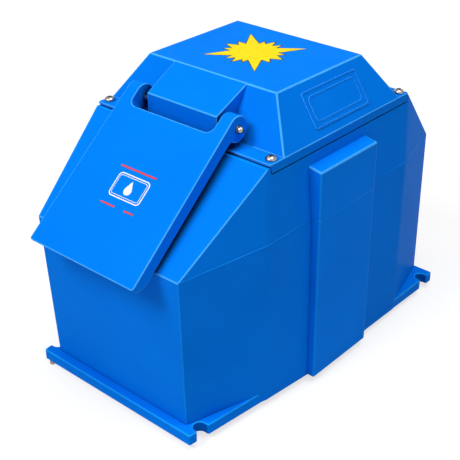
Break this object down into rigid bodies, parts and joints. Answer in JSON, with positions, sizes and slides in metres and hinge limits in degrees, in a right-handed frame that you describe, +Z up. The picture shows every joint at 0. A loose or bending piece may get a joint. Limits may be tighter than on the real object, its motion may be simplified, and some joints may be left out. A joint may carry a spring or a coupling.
{
  "type": "livestock waterer",
  "caption": "Insulated blue moulded waterer with sloped ends, a hinged drinking flap, a bolted cover and a float-fed trough inside.",
  "frame": {"origin": "middle of the base's standing pads, on the ground", "axes": "+X to the side with the larger visible panel side, -Y towards the drinking flap, +Z up"},
  "size_m": [0.458, 0.7737, 0.547],
  "materials": {
    "blue_polyethylene": "satin moulded",
    "trough_polyethylene": "satin moulded",
    "polyurethane_foam": "foam skin",
    "black_rubber": "matt",
    "black_pipe": "satin",
    "handle_vinyl": "dipped vinyl",
    "float_plastic": "satin",
    "stainless_steel": "bright",
    "brass": "cast and turned"
  },
  "bodies": {
    "housing": {"arm_pin": "stainless_steel", "body_shell": "blue_polyethylene", "bracket_nut_left": "stainless_steel", "bracket_nut_right": "stainless_steel", "bracket_screw_left": "stainless_steel", "bracket_screw_right": "stainless_steel", "corner_stud": "stainless_steel", "cover_gasket": "black_rubber", "cover_insert_front_left": "brass", "cover_insert_front_right": "brass", "cover_insert_rear_left": "brass", "cover_insert_rear_right": "brass", "cover_insulation": "polyurethane_foam", "cover_screw_front_left": "stainless_steel", "cover_screw_front_right": "stainless_steel", "cover_screw_rear_left": "stainless_steel", "cover_screw_rear_right": "stainless_steel", "drain_fitting": "brass", "drain_nut": "brass", "drain_pipe": "black_pipe", "float_valve_body": "brass", "foam_insulation": "polyurethane_foam", "hinge_bolt_left": "stainless_steel", "hinge_bolt_right": "stainless_steel", "hinge_insert_left": "brass", "hinge_insert_right": "brass", "hinge_sleeve_left": "stainless_steel", "hinge_sleeve_right": "stainless_steel", "hinge_washer_left": "stainless_steel", "hinge_washer_right": "stainless_steel", "riser_grommet": "black_rubber", "shutoff_valve": "brass", "supply_elbow": "brass", "supply_riser": "black_pipe", "top_cover": "blue_polyethylene", "trough": "trough_polyethylene", "valve_bracket": "stainless_steel", "valve_locknut": "brass"},
    "flap": {"drinking_flap": "blue_polyethylene"},
    "float_lever": {"float_arm": "stainless_steel", "float": "float_plastic", "float_wing_nut": "brass"},
    "plunger": {"valve_plunger": "brass", "plunger_seal": "black_rubber"},
    "shutoff_lever": {"shutoff_handle": "handle_vinyl", "handle_nut": "stainless_steel"},
    "plug": {"drain_plug": "black_rubber"}
  },
  "joints": [
    {"name": "flap_hinge", "type": "hinge", "parent": "housing", "child": "flap", "pos_m": [0, -0.154, 0.498], "axis": [-1, 0, 0], "range_deg": [0, 130]},
    {"name": "float_hinge", "type": "hinge", "parent": "housing", "child": "float_lever", "pos_m": [0, 0.052, 0.334], "axis": [-1, 0, 0], "range_deg": [-22, 0]},
    {"name": "plunger_slide", "type": "slide", "parent": "housing", "child": "plunger", "axis": [0, 1, 0], "range_m": [-0.0035, 0]},
    {"name": "shutoff_turn", "type": "hinge", "parent": "housing", "child": "shutoff_lever", "pos_m": [0.0265, 0.205, 0.282], "axis": [1, 0, 0], "range_deg": [0, 90]},
    {"name": "plug_lift", "type": "slide", "parent": "housing", "child": "plug", "axis": [0, 0, 1], "range_m": [0, 0.045]}
  ],
  "couplings": [
    {"joint": "plunger_slide", "follows": "float_hinge", "m_per_rad": 0.008}
  ]
}
